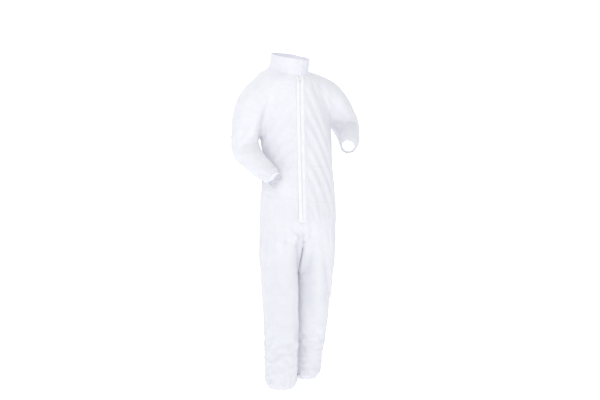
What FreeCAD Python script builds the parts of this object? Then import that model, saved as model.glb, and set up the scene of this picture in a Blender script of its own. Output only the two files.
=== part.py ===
"""Chemical protective coverall: a zip-front suit without a hood, in the shape it has when worn.

Frame: +Z up, the front faces -Y, the wearer's left is +X. The origin is the centre of the neck opening.
Every fabric panel is a thin closed shell. Each limb is cut back at its hinge, so that it can swing, and
carries a rounded zone of spare fabric that closes the cut. Lengths are millimetres, angles degrees.
"""

import FreeCAD
import Part
import math
import os

V = FreeCAD.Vector

# ---- driving dimensions -------------------------------------------------------------------------
WALL = 1.2                      # fabric panel, thickened from about 0.3 mm
GAP = 2.0                       # room between a limb and what it swings on
EASE = 3.0                      # a limb's end is this much narrower than the part it nests in
ZONE_CLEAR = 1.2                # the spare zone lies this far inside its limb's wall
WAIST_Z = -408.0                # waist seam
SEAT_Z = -776.0                 # underside of the seat, at the crotch
HIP_Z = -822.0                  # the legs are cut here
KNEE_Z = -1010.0
HEM_Z = -1422.0                 # ankle hem
SIDE_SEAM_Y = -10.0             # the side seams' plane
SECTION_POINTS = 16             # points round a fabric section

# the zip is straight, and the front of every torso section lies on its line
ZIP_TOP = V(20.0, -97.0, -18.0)
ZIP_BOTTOM = V(14.0, -158.0, -650.0)
TAPE_HALF = 14.0                # half the width of the closed zip with its tapes
TAPE_THICK = 0.8
COIL_INNER = 0.9                # the coils start this far from the middle
COIL_OUTER = 3.2
COIL_THICK = 2.4
STOP_LENGTH = 3.0
STOP_THICK = 3.0
STOP_CLEAR = 1.4                # between a top stop and the end of its coil
COIL_END = 5.0                  # the coils end this far above the foot of the zip
SLIDER_TOP = 2.0                # the slider's top, down the zip, when it is closed
SLIDER_LENGTH = 13.0
SLIDER_HALF = 4.6
PLATE_THICK = 1.2
PLATE_CLEAR = 0.4
WEDGE_LENGTH = 4.0
POST_HEIGHT = 3.4               # the two posts that hold the slider's bar
POST_WIDE = 1.1
BAR_RADIUS = 0.8
BAR_DOWN = 2.7                  # the bar's middle, down from the slider's top
BAR_OUT = 2.1                   # and out from its front plate
TAB_LENGTH = 30.0
TAB_HALF = 3.6
TAB_THICK = 1.4
EYE_WALL = 0.9                  # round the bar
GRIP_HALF = 1.8                 # the grip hole near the tab's free end
GRIP_FROM_END = (11.0, 3.0)

COLLAR_HEIGHT = 68.0
COLLAR_SLIT = 3.0               # gap between the collar's two ends

COLLAR_TAPER = (-3.0, -4.0)     # how much narrower the collar is at mid height and at its rim
LABEL_WIDTH = 45.0
LABEL_DROP = 55.0
LABEL_THICK = 0.6
LABEL_INSET = 8.0               # in from the back of the neck seam

ELASTIC_WIDTH = 8.0
ELASTIC_THICK = 1.0
ELASTIC_CLEAR = 0.4             # between an elastic and its cuff or hem
ELASTIC_FROM_END = 2.0
WAIST_CLEAR = 1.5
WAIST_TRIM = 4.0                # the waist band is lofted this much too tall at both ends, then trimmed
CUFF_LENGTH = 22.0

# torso sections: height at the front, half widths right and left, half depth,
# yaw (positive turns the front to the wearer's left) and tilt (positive lifts the back)
NECK = (-18.0, 86.0, 86.0, 98.0, 10.0, 14.0)
TORSO = [
    NECK,
    (-33.0, 134.0, 146.0, 104.0, 9.0, 12.0),
    (-62.0, 168.0, 186.0, 110.0, 8.0, 8.0),
    (-112.0, 166.0, 194.0, 115.0, 5.0, 3.0),
    (-200.0, 142.0, 188.0, 118.0, 0.0, 0.0),
    (-300.0, 141.0, 179.0, 119.0, -5.0, 0.0),
    (WAIST_Z, 150.0, 172.0, 120.0, -9.0, 0.0),
    (-500.0, 164.0, 174.0, 126.0, -11.0, 0.0),
    (-620.0, 178.0, 178.0, 132.0, -12.0, 0.0),
]
# below the zip: centre x and y, height, half width, half depth
SEAT = [
    (42.0, -26.0, -700.0, 179.0, 128.0),
    (42.0, -24.0, -742.0, 168.0, 112.0),
    (42.0, -22.0, SEAT_Z, 140.0, 78.0),
]

# leg stations: centre x and y, height, half width, half depth
LEGS = {
    "right": [
        (-44.0, -17.0, -690.0, 70.0, 86.0),
        (-51.0, -18.0, HIP_Z, 90.0, 97.0),
        (-50.0, -36.0, -930.0, 87.0, 91.0),
        (-50.0, -43.0, KNEE_Z, 84.0, 87.0),
        (-50.0, -50.0, -1180.0, 80.0, 81.0),
        (-50.0, -52.0, -1330.0, 77.0, 77.0),
        (-50.0, -52.0, -1395.0, 74.0, 74.0),
        (-50.0, -52.0, HEM_Z, 65.0, 65.0),
    ],
    "left": [
        (126.0, -22.0, -690.0, 70.0, 86.0),
        (133.0, -20.0, HIP_Z, 90.0, 97.0),
        (131.0, -8.0, -930.0, 87.0, 91.0),
        (128.0, 1.0, KNEE_Z, 85.0, 87.0),
        (119.0, 15.0, -1180.0, 79.0, 81.0),
        (108.0, 28.0, -1330.0, 72.0, 76.0),
        (103.0, 33.0, -1395.0, 70.0, 73.0),
        (101.0, 35.0, HEM_Z, 62.0, 64.0),
    ],
}
HIP_SWING = 40.0
KNEE_SWING = 60.0
HIP_REACH = 0.5                 # how far each spare zone reaches into its parent, as a share of its radius
KNEE_REACH = 0.7

# sleeve stations from the shoulder to the wrist: centre, half width across and within the arm's plane
SLEEVES = {
    "right": {
        "upper": [
            (V(-118.0, 4.0, -98.0), 86.0, 76.0),
            (V(-166.0, 10.0, -156.0), 80.0, 70.0),
            (V(-192.0, 18.0, -245.0), 72.0, 57.0),
            (V(-200.0, 18.0, -328.0), 60.0, 54.0),
        ],
        "lower": [
            (V(-200.0, 18.0, -328.0), 57.0, 51.0),
            (V(-173.0, -40.0, -376.0), 57.0, 52.0),
            (V(-142.0, -94.0, -422.0), 50.0, 47.0),
            (V(-114.0, -142.0, -460.0), 38.0, 38.0),
        ],
    },
    "left": {
        "upper": [
            (V(132.0, 14.0, -88.0), 84.0, 78.0),
            (V(206.0, 28.0, -116.0), 82.0, 78.0),
            (V(282.0, 50.0, -184.0), 70.0, 66.0),
            (V(326.0, 72.0, -246.0), 61.0, 59.0),
        ],
        "lower": [
            (V(326.0, 72.0, -246.0), 58.0, 56.0),
            (V(306.0, 10.0, -276.0), 57.0, 54.0),
            (V(280.0, -52.0, -304.0), 50.0, 47.0),
            (V(253.0, -100.0, -330.0), 38.0, 38.0),
        ],
    },
}
SHOULDER_SWING = 40.0
ELBOW_SWING = 45.0
SHOULDER_REACH = 0.4
ELBOW_REACH = 0.6
SWEEP_STEPS = 3                 # the torso is cut clear of each sleeve at this many steps of its swing
RUN_IN = 20.0                   # tubes run on past their ends by these before they are trimmed
RUN_ON = 50.0

DOWN = (ZIP_BOTTOM - ZIP_TOP).normalize()
OUT = (V(0, -1, 0) - DOWN * DOWN.dot(V(0, -1, 0))).normalize()
SIDE = OUT.cross(DOWN)
ZIP_LENGTH = (ZIP_BOTTOM - ZIP_TOP).Length
BAR_HEIGHT = COIL_THICK / 2 + PLATE_CLEAR + PLATE_THICK + BAR_OUT


# ---- sections and lofts -------------------------------------------------------------------------
def zip_point(z):
    """The point of the zip line at height z."""
    t = (z - ZIP_TOP.z) / (ZIP_BOTTOM.z - ZIP_TOP.z)
    return ZIP_TOP + (ZIP_BOTTOM - ZIP_TOP) * t


def ring(centre, across, along, a, b, a_far=None):
    """A smooth closed section. Half width a along 'across' (a_far on its negative side), b along 'along'."""
    points = []
    for i in range(SECTION_POINTS):
        angle = 2 * math.pi * i / SECTION_POINTS
        width = a if math.sin(angle) >= 0 or a_far is None else a_far
        points.append(centre + across * (width * math.sin(angle)) - along * (b * math.cos(angle)))
    curve = Part.BSplineCurve()
    curve.interpolate(Points=points, PeriodicFlag=True)
    return Part.Wire([curve.toShape()])


def loft(rings):
    return Part.makeLoft(rings, True, False)


def section_axes(yaw, tilt):
    """The sideways and the backward direction of a torso section."""
    r, t = math.radians(yaw), math.radians(tilt)
    across = V(math.cos(r), math.sin(r), 0)
    back = V(-math.sin(r), math.cos(r), 0)
    return across, back * math.cos(t) + V(0, 0, math.sin(t))


def torso_ring(row, inset, lift=0.0, flare=0.0):
    """One torso section, inset into the body, or lifted off along its normal and made wider by flare."""
    z, right, left, depth, yaw, tilt = row
    across, back = section_axes(yaw, tilt)
    centre = zip_point(z) + back * depth + across.cross(back) * lift
    grow = flare - inset
    return ring(centre, across, back, left + grow, depth + grow, right + grow)


def seat_ring(row, inset):
    x, y, z, a, b = row
    across, back = section_axes(TORSO[-1][4], 0)
    return ring(V(x, y, z), across, back, a - inset, b - inset)


def torso_loft(inset):
    rings = [torso_ring(row, inset) for row in TORSO]
    seat = [seat_ring(row, inset) for row in SEAT]
    if inset:
        rings[0] = torso_ring(NECK, inset, 0.5)
        x, y, z, a, b = SEAT[-1]
        seat[-1] = seat_ring((x, y, z + inset, a, b), inset)
    return loft(rings + seat)


def leg_loft(rows, inset, top=0.0, bottom=0.0):
    """A leg through its rows, lengthened by top above its first row and by bottom below its last."""
    rings = [ring(V(x, y, z), V(1, 0, 0), V(0, 1, 0), a - inset, b - inset) for x, y, z, a, b in rows]
    if top:
        x, y, z, a, b = rows[0]
        rings.insert(0, ring(V(x, y, z + top), V(1, 0, 0), V(0, 1, 0), a - inset, b - inset))
    if bottom:
        x, y, z, a, b = rows[-1]
        rings.append(ring(V(x, y, z - bottom), V(1, 0, 0), V(0, 1, 0), a - inset, b - inset))
    return loft(rings)


def arm_normal(side):
    """The normal of the plane through the shoulder, elbow and wrist."""
    shoulder = SLEEVES[side]["upper"][0][0]
    elbow = SLEEVES[side]["lower"][0][0]
    wrist = SLEEVES[side]["lower"][-1][0]
    return (elbow - shoulder).cross(wrist - elbow).normalize()


def sleeve_loft(side, part, inset, before=0.0, after=0.0):
    """A sleeve through its stations, lengthened by before at its start and by after at its end."""
    stations = list(SLEEVES[side][part])
    normal = arm_normal(side)
    frames = []
    for i in range(len(stations)):
        first = stations[max(i - 1, 0)][0]
        last = stations[min(i + 1, len(stations) - 1)][0]
        tangent = (last - first).normalize()
        across = (normal - tangent * normal.dot(tangent)).normalize()
        frames.append((stations[i], tangent, across))
    if before:
        (centre, a, b), tangent, across = frames[0]
        frames.insert(0, ((centre - tangent * before, a, b), tangent, across))
    if after:
        (centre, a, b), tangent, across = frames[-1]
        frames.append(((centre + tangent * after, a, b), tangent, across))
    return loft([ring(c, across, tangent.cross(across), a - inset, b - inset)
                 for (c, a, b), tangent, across in frames])


# ---- cutting tools ------------------------------------------------------------------------------
def half_space(point, normal, size=3600.0):
    """A large block that holds everything on the normal's side of the point."""
    block = Part.makeBox(size, size, size, V(-size / 2, -size / 2, 0))
    block.Placement = FreeCAD.Placement(point, FreeCAD.Rotation(V(0, 0, 1), normal))
    return block


def keep(shape, point, normal):
    return shape.common(half_space(point, normal))


def solids(shape, smallest=5.0):
    """The shape's solids, without slivers under 'smallest' cubic millimetres."""
    found = [s for s in shape.Solids if s.Volume > smallest]
    return found[0] if len(found) == 1 else Part.makeCompound(found)


class Hinge:
    """A limb's hinge: a positive swing closes the side that 'e' points to."""

    def __init__(self, centre, axis, parent_tangent, child_tangent, swing):
        self.centre = centre
        self.axis = axis.normalize()
        self.parent_tangent = parent_tangent.normalize()
        self.child_tangent = child_tangent.normalize()
        self.swing = swing
        middle = self.parent_tangent + self.child_tangent
        self.middle = (middle - self.axis * middle.dot(self.axis)).normalize()

    def tilted(self, degrees):
        return FreeCAD.Rotation(self.axis, degrees).multVec(self.middle)

    def parent_side(self, shape):
        for normal in (self.middle, self.tilted(self.swing / 2)):
            shape = keep(shape, self.centre - normal * (GAP / 2), normal * -1)
        return shape

    def child_side(self, shape):
        for normal in (self.middle, self.tilted(-self.swing / 2)):
            shape = keep(shape, self.centre + normal * (GAP / 2), normal)
        return shape

    def spare_zone(self, radius, reach):
        """The rounded zone of spare fabric inside a limb of this radius, reaching into the parent."""
        radius = radius - WALL - ZONE_CLEAR
        zone = Part.makeSphere(radius, self.centre).cut(Part.makeSphere(radius - WALL, self.centre))
        zone = keep(zone, self.centre - self.parent_tangent * (reach * radius), self.parent_tangent)
        return keep(zone, self.centre + self.child_tangent * (GAP + 1.0), self.child_tangent * -1)

    def swung(self, shape, degrees):
        copy = shape.copy()
        copy.rotate(self.centre, self.axis, degrees)
        return copy


def row_point(row):
    return V(row[0], row[1], row[2])


def leg_row(side, z):
    return next(row for row in LEGS[side] if row[2] == z)


def make_hinges():
    hinges = {}
    for side, turn in (("right", 1), ("left", -1)):
        upper = [station[0] for station in SLEEVES[side]["upper"]]
        lower = [station[0] for station in SLEEVES[side]["lower"]]
        reach = upper[2] - upper[0]
        hinges[side, "shoulder"] = Hinge(upper[1], V(0, turn, 0), reach, reach, SHOULDER_SWING)
        bend = (lower[1] - lower[0]).cross(upper[-1] - upper[-2])
        along = upper[-1] - upper[-2]
        hinges[side, "elbow"] = Hinge(lower[0], bend, along, lower[1] - lower[0], ELBOW_SWING)
        hip = row_point(leg_row(side, HIP_Z))
        knee = row_point(leg_row(side, KNEE_Z))
        hinges[side, "hip"] = Hinge(hip, V(-1, 0, 0), V(0, 0, -1), V(0, 0, -1), HIP_SWING)
        hinges[side, "knee"] = Hinge(knee, V(1, 0, 0), V(0, 0, -1), V(0, 0, -1), KNEE_SWING)
    return hinges


# ---- the torso ----------------------------------------------------------------------------------
def zip_box(down0, down1, side0, side1, out0, out1):
    """A block along the zip: distances down the line, to the wearer's left and out of the fabric."""
    block = Part.makeBox(side1 - side0, out1 - out0, down1 - down0, V(side0, out0, down0))
    frame = FreeCAD.Matrix(SIDE.x, OUT.x, DOWN.x, ZIP_TOP.x, SIDE.y, OUT.y, DOWN.y, ZIP_TOP.y,
                           SIDE.z, OUT.z, DOWN.z, ZIP_TOP.z, 0, 0, 0, 1)
    block.Placement = FreeCAD.Placement(frame)
    return block


def leg_rows(side, top, bottom):
    """The leg's rows from height top to height bottom."""
    return [row for row in LEGS[side] if bottom <= row[2] <= top]


def body_wall(hinges, sleeves):
    """The torso and seat as one shell, with short stubs for the arms and legs, clear of the sleeves."""
    outer = torso_loft(0.0)
    inner = torso_loft(WALL)
    for side in LEGS:
        stub = leg_loft(leg_rows(side, 0.0, HIP_Z), 0.0, 0.0, RUN_ON)
        outer = outer.fuse(hinges[side, "hip"].parent_side(stub))
        inner = inner.fuse(leg_loft(leg_rows(side, 0.0, HIP_Z), WALL, 0.0, RUN_ON))
        stub = hinges[side, "shoulder"].parent_side(sleeve_loft(side, "upper", -EASE, RUN_IN, RUN_ON))
        outer = outer.fuse(stub)
        inner = inner.fuse(sleeve_loft(side, "upper", WALL - EASE, RUN_IN, RUN_ON))
    wall = outer.cut(inner)
    for side in LEGS:
        for step in range(SWEEP_STEPS + 1):
            swing = SHOULDER_SWING * step / SWEEP_STEPS
            wall = wall.cut(hinges[side, "shoulder"].swung(sleeves[side], swing))
    return wall


def front_half(shape):
    return keep(shape, V(0, SIDE_SEAM_Y, 0), V(0, -1, 0))


def back_half(shape):
    return keep(shape, V(0, SIDE_SEAM_Y, 0), V(0, 1, 0))


def above(shape, z):
    return keep(shape, V(0, 0, z), V(0, 0, 1))


def below(shape, z):
    return keep(shape, V(0, 0, z), V(0, 0, -1))


def side_part(shape, side):
    return keep(shape, ZIP_TOP, SIDE if side == "left" else SIDE * -1)


def torso_panels(wall):
    """The cut panels: two fronts and a back above the waist, two fronts and a back below it."""
    slot = zip_box(-60.0, ZIP_LENGTH, -TAPE_HALF, TAPE_HALF, -20.0, 20.0)
    front = front_half(wall).cut(slot)
    panels = {
        "back_upper": above(back_half(wall), WAIST_Z),
        "seat": below(back_half(wall), WAIST_Z),
    }
    for side in LEGS:
        half = side_part(front, side)
        panels["front_" + side] = above(half, WAIST_Z)
        panels["hip_front_" + side] = below(half, WAIST_Z)
    return panels


def collar_ply(inset):
    """One ply of the stand collar, open at the front."""
    rims = []
    for extra in (inset, inset + WALL):
        foot = torso_ring(NECK, extra, 0.0)
        middle = torso_ring(NECK, extra, COLLAR_HEIGHT / 2, COLLAR_TAPER[0])
        top = torso_ring(NECK, extra, COLLAR_HEIGHT, COLLAR_TAPER[1])
        rims.append(loft([foot, middle, top]))
    ply = rims[0].cut(rims[1])
    slit = zip_box(-COLLAR_HEIGHT - 20.0, 20.0, -COLLAR_SLIT / 2, COLLAR_SLIT / 2, -30.0, 30.0)
    return ply.cut(slit)


def waist_elastic():
    """A band sewn inside the back of the waist seam, from side seam to side seam."""
    top, bottom = WAIST_Z + ELASTIC_WIDTH / 2, WAIST_Z - ELASTIC_WIDTH / 2
    z, right, left, depth, yaw, tilt = next(row for row in TORSO if row[0] == WAIST_Z)
    across, back = section_axes(yaw, tilt)
    bands = []
    for inset in (WALL + WAIST_CLEAR, WALL + WAIST_CLEAR + ELASTIC_THICK):
        rings = []
        for height in (top + WAIST_TRIM, bottom - WAIST_TRIM):
            centre = zip_point(z) + back * depth + V(0, 0, height - z)
            rings.append(ring(centre, across, back, left - inset, depth - inset, right - inset))
        bands.append(loft(rings))
    band = below(above(bands[0].cut(bands[1]), bottom), top)
    return back_half(band)


def neck_label():
    """A blank label that hangs from the back of the neck seam, inside."""
    z, right, left, depth, yaw, tilt = NECK
    across, back = section_axes(yaw, tilt)
    nape = zip_point(z) + back * (2 * depth - LABEL_INSET)
    label = Part.makeBox(LABEL_WIDTH, LABEL_THICK, LABEL_DROP, V(-LABEL_WIDTH / 2, 0, -LABEL_DROP))
    label.Placement = FreeCAD.Placement(nape, FreeCAD.Rotation(V(0, 0, 1), yaw))
    return label


# ---- the zip ------------------------------------------------------------------------------------
def zip_tape(sign):
    edges = sorted((sign * COIL_OUTER, sign * TAPE_HALF))
    return zip_box(0.0, ZIP_LENGTH, edges[0], edges[1], -TAPE_THICK, 0.0)


def zip_coil(sign):
    edges = sorted((sign * COIL_INNER, sign * COIL_OUTER))
    return zip_box(STOP_LENGTH, ZIP_LENGTH - COIL_END, edges[0], edges[1], -COIL_THICK / 2, COIL_THICK / 2)


def zip_top_stops():
    stops = []
    for sign in (-1, 1):
        edges = sorted((sign * COIL_INNER, sign * COIL_OUTER))
        ends = (0.0, STOP_LENGTH - STOP_CLEAR)
        stops.append(zip_box(ends[0], ends[1], edges[0], edges[1], -STOP_THICK / 2, STOP_THICK / 2))
    return Part.makeCompound(stops)


def zip_bottom_stop():
    top, half = ZIP_LENGTH - COIL_END + 0.5, COIL_OUTER - 0.1
    return zip_box(top, ZIP_LENGTH, -half, half, -STOP_THICK / 2, STOP_THICK / 2)


def slider_body():
    """Two plates round the coils, the wedge that parts them, and the bar that carries the tab."""
    top, bottom = SLIDER_TOP, SLIDER_TOP + SLIDER_LENGTH
    face = COIL_THICK / 2 + PLATE_CLEAR
    body = zip_box(top, bottom, -SLIDER_HALF, SLIDER_HALF, face, face + PLATE_THICK)
    body = body.fuse(zip_box(top, bottom, -SLIDER_HALF, SLIDER_HALF, -face - PLATE_THICK, -face))
    wedge = COIL_INNER - 0.4
    body = body.fuse(zip_box(top, top + WEDGE_LENGTH, -wedge, wedge, -face - 0.1, face + 0.1))
    post_out = face + PLATE_THICK + POST_HEIGHT
    for sign in (-1, 1):
        edges = sorted((sign * (SLIDER_HALF - POST_WIDE), sign * SLIDER_HALF))
        post = zip_box(top + BAR_DOWN - 1.7, top + BAR_DOWN + 1.7, edges[0], edges[1], face, post_out)
        body = body.fuse(post)
    half = SLIDER_HALF - 0.3
    return body.fuse(Part.makeCylinder(BAR_RADIUS, 2 * half, bar_centre() - SIDE * half, SIDE))


def bar_centre():
    return ZIP_TOP + DOWN * (SLIDER_TOP + BAR_DOWN) + OUT * BAR_HEIGHT


def pull_tab():
    """A flat tab with an eye round the slider's bar, and a grip hole near its free end."""
    top = SLIDER_TOP + BAR_DOWN
    out = BAR_HEIGHT
    half = SLIDER_HALF - 1.5
    tab = zip_box(top + 0.5, top + TAB_LENGTH, -TAB_HALF, TAB_HALF, out - TAB_THICK / 2, out + TAB_THICK / 2)
    tab = tab.cut(zip_box(top - 3.0, top + 3.0, half, 9.0, -9.0, 19.0))
    tab = tab.cut(zip_box(top - 3.0, top + 3.0, -9.0, -half, -9.0, 19.0))
    tab = tab.fuse(Part.makeCylinder(BAR_RADIUS + EYE_WALL, 2 * half, bar_centre() - SIDE * half, SIDE))
    tab = tab.cut(Part.makeCylinder(BAR_RADIUS + 0.1, 4 * half, bar_centre() - SIDE * (2 * half), SIDE))
    start, end = (top + TAB_LENGTH - reach for reach in GRIP_FROM_END)
    return tab.cut(zip_box(start, end, -GRIP_HALF, GRIP_HALF, out - TAB_THICK, out + TAB_THICK))


# ---- the sleeves --------------------------------------------------------------------------------
def sleeve_wall(side, part, before, after):
    """The wall of a sleeve that runs on past both ends. It is trimmed to its planes afterwards."""
    return sleeve_loft(side, part, 0.0, before, after).cut(sleeve_loft(side, part, WALL, before, after))


def leg_wall(rows, top, bottom):
    return leg_loft(rows, 0.0, top, bottom).cut(leg_loft(rows, WALL, top, bottom))


def upper_sleeve(side, hinges):
    """The upper sleeve, with its spare zone inside the armhole."""
    wall = sleeve_wall(side, "upper", RUN_IN, RUN_ON)
    wall = hinges[side, "elbow"].parent_side(wall)
    hinge = hinges[side, "shoulder"]
    zone = hinge.spare_zone(SLEEVES[side]["upper"][1][2], SHOULDER_REACH)
    return Part.makeCompound([hinge.child_side(wall), zone])


def lower_sleeve(side, hinges):
    """The lower sleeve with its cuff, as one tube, and the spare zone of the elbow."""
    wall = sleeve_wall(side, "lower", RUN_ON, RUN_IN)
    stations = SLEEVES[side]["lower"]
    wall = keep(wall, stations[-1][0], stations[-2][0] - stations[-1][0])
    hinge = hinges[side, "elbow"]
    return hinge.child_side(wall), hinge.spare_zone(SLEEVES[side]["lower"][0][2], ELBOW_REACH)


def cuff_plane(side):
    """A point on the seam between the sleeve and its cuff, and the direction to the hand."""
    stations = SLEEVES[side]["lower"]
    toward = (stations[-1][0] - stations[-2][0]).normalize()
    return stations[-1][0] - toward * CUFF_LENGTH, toward


def wrist_elastic(side):
    """A band round the inside of the cuff."""
    point, toward = cuff_plane(side)
    end, a, b = SLEEVES[side]["lower"][-1]
    radius = min(a, b) - WALL - ELASTIC_CLEAR
    start = end - toward * (ELASTIC_WIDTH + ELASTIC_FROM_END)
    outer = Part.makeCylinder(radius, ELASTIC_WIDTH, start, toward)
    return outer.cut(Part.makeCylinder(radius - ELASTIC_THICK, ELASTIC_WIDTH, start, toward))


# ---- the legs -----------------------------------------------------------------------------------
def thigh(side, hinges):
    """The leg from the hip to the knee as one tube, and the spare zone of the hip."""
    rows = leg_rows(side, HIP_Z, KNEE_Z)
    x, y, z, a, b = rows[0]
    rows[0] = (x, y, z, a - EASE, b - EASE)
    wall = hinges[side, "knee"].parent_side(leg_wall(rows, RUN_ON, RUN_ON))
    wall = hinges[side, "hip"].child_side(wall)
    return wall, hinges[side, "hip"].spare_zone(a - EASE, HIP_REACH)


def shin(side, hinges):
    """The leg from the knee to the hem as one tube, and the spare zone of the knee."""
    rows = leg_rows(side, KNEE_Z, HEM_Z)
    x, y, z, a, b = rows[0]
    rows[0] = (x, y, z, a - EASE, a - EASE)
    wall = hinges[side, "knee"].child_side(above(leg_wall(rows, RUN_ON, RUN_IN), HEM_Z))
    return wall, hinges[side, "knee"].spare_zone(a - EASE, KNEE_REACH)


def leg_half(shape, side, z0, z1, facing):
    """The part of a leg in front of (facing 1) or behind (facing -1) its inseam and outseam."""
    top, bottom = row_point(leg_row(side, z0)), row_point(leg_row(side, z1))
    forward = V(1, 0, 0).cross(top - bottom).normalize()
    return keep(shape, top, forward * facing)


def ankle_elastic(side):
    x, y, z, a, b = LEGS[side][-1]
    radius = min(a, b) - WALL - ELASTIC_CLEAR
    start = V(x, y, z + ELASTIC_FROM_END)
    outer = Part.makeCylinder(radius, ELASTIC_WIDTH, start)
    return outer.cut(Part.makeCylinder(radius - ELASTIC_THICK, ELASTIC_WIDTH, start))


# ---- the whole suit -----------------------------------------------------------------------------
def make_nodes():
    hinges = make_hinges()
    grown = {}
    for side in LEGS:
        tube = sleeve_loft(side, "upper", -GAP, RUN_IN, RUN_ON)
        grown[side] = hinges[side, "shoulder"].child_side(tube)
    nodes = torso_panels(body_wall(hinges, grown))
    nodes["collar_outer"] = collar_ply(0.0)
    nodes["collar_inner"] = collar_ply(WALL)
    nodes["waist_elastic"] = waist_elastic()
    nodes["neck_label"] = neck_label()
    for side, sign in (("right", -1), ("left", 1)):
        nodes["zip_tape_" + side] = zip_tape(sign)
        nodes["zip_coil_" + side] = zip_coil(sign)
    nodes["zip_top_stops"] = zip_top_stops()
    nodes["zip_bottom_stop"] = zip_bottom_stop()
    nodes["slider"] = slider_body()
    nodes["pull_tab"] = pull_tab()
    for side in LEGS:
        nodes["upper_sleeve_" + side] = upper_sleeve(side, hinges)
        sleeve, zone = lower_sleeve(side, hinges)
        point, toward = cuff_plane(side)
        nodes["lower_sleeve_" + side] = Part.makeCompound([keep(sleeve, point, toward * -1), zone])
        nodes["cuff_" + side] = keep(sleeve, point, toward)
        nodes["wrist_elastic_" + side] = wrist_elastic(side)
        leg, zone = thigh(side, hinges)
        for name, facing in (("thigh_front_", 1), ("thigh_back_", -1)):
            panel = [leg_half(solid, side, HIP_Z, KNEE_Z, facing) for solid in (leg, zone)]
            nodes[name + side] = Part.makeCompound(panel)
        leg, zone = shin(side, hinges)
        hem_top = HEM_Z + CUFF_LENGTH
        for name, facing in (("shin_front_", 1), ("shin_back_", -1)):
            panel = [leg_half(solid, side, KNEE_Z, HEM_Z, facing) for solid in (above(leg, hem_top), zone)]
            nodes[name + side] = Part.makeCompound(panel)
        nodes["ankle_hem_" + side] = below(leg, hem_top)
        nodes["ankle_elastic_" + side] = ankle_elastic(side)
    return nodes


def main():
    os.makedirs("parts", exist_ok=True)
    nodes = make_nodes()
    for name, shape in nodes.items():
        found = solids(shape)
        print(name, [round(solid.Volume) for solid in found.Solids], found.isValid())
        found.exportStep("parts/%s.step" % name)
    for (side, name), hinge in make_hinges().items():
        print(side, name, "centre", tuple(hinge.centre), "axis", tuple(hinge.axis), "swing", hinge.swing)
    print("zip down", tuple(DOWN), "out", tuple(OUT), "side", tuple(SIDE), "bar", tuple(bar_centre()))


main()
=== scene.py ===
"""Looks of the chemical protective coverall: draped nonwoven panels, collar, zip, cuffs and hems."""

import math
import bmesh
import bpy
import numpy as np
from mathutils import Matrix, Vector, noise


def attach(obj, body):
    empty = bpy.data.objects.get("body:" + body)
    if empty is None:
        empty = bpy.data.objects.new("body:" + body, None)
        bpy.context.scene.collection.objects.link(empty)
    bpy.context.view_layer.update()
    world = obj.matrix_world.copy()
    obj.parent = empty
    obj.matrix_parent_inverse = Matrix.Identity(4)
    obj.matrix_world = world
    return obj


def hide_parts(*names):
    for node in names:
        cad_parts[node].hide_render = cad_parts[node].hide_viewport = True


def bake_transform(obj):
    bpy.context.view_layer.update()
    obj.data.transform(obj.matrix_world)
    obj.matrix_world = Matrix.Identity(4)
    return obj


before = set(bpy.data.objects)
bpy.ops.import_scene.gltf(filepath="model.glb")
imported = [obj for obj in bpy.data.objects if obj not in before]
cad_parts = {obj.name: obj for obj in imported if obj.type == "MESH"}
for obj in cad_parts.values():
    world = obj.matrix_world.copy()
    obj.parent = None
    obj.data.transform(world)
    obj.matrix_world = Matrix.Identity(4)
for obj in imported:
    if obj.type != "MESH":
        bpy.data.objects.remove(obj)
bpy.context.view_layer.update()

MM = 0.001
SIM_FRAMES = 22
VOXEL = 12 * MM
SIDES = ("right", "left")

# ---- the garment's sizes, in metres, as the CAD has them ---------------------------------------
ZIP_TOP = Vector((0.020, -0.097, -0.018))
ZIP_BOTTOM = Vector((0.014, -0.158, -0.650))
DOWN = (ZIP_BOTTOM - ZIP_TOP).normalized()
OUT = (Vector((0, -1, 0)) - DOWN * DOWN.dot(Vector((0, -1, 0)))).normalized()
SIDE = OUT.cross(DOWN)
ZIP_LENGTH = (ZIP_BOTTOM - ZIP_TOP).length
TAPE_HALF = 0.014
WAIST_Z = -0.408
SEAT_Z = -0.722
HIP_Z = -0.822
KNEE_Z = -1.010
HEM_Z = -1.422
HEM_TOP = HEM_Z + 0.022
SIDE_SEAM_Y = -0.010
CROTCH_X = 0.041
COLLAR_HEIGHT = 0.068
FORM_INSET = 0.011            # from the fabric to the wearer's shape
FABRIC_THICK = 0.0004
ELASTIC_THICK = 0.0009
ZIP_TRAVEL = 0.610            # of the slider
COIL_TURNS = 290              # along that travel
# the legs are moved apart by LEG_SPREAD each, from SPREAD_TOP down over SPREAD_FADE
LEG_SPREAD, SPREAD_TOP, SPREAD_FADE = 0.010, -0.635, 0.10
# the front seam leaves the zip's end for the crotch over this height
FRONT_SEAM_FOOT, FRONT_SEAM_HEIGHT = -0.76, 0.11

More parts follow.
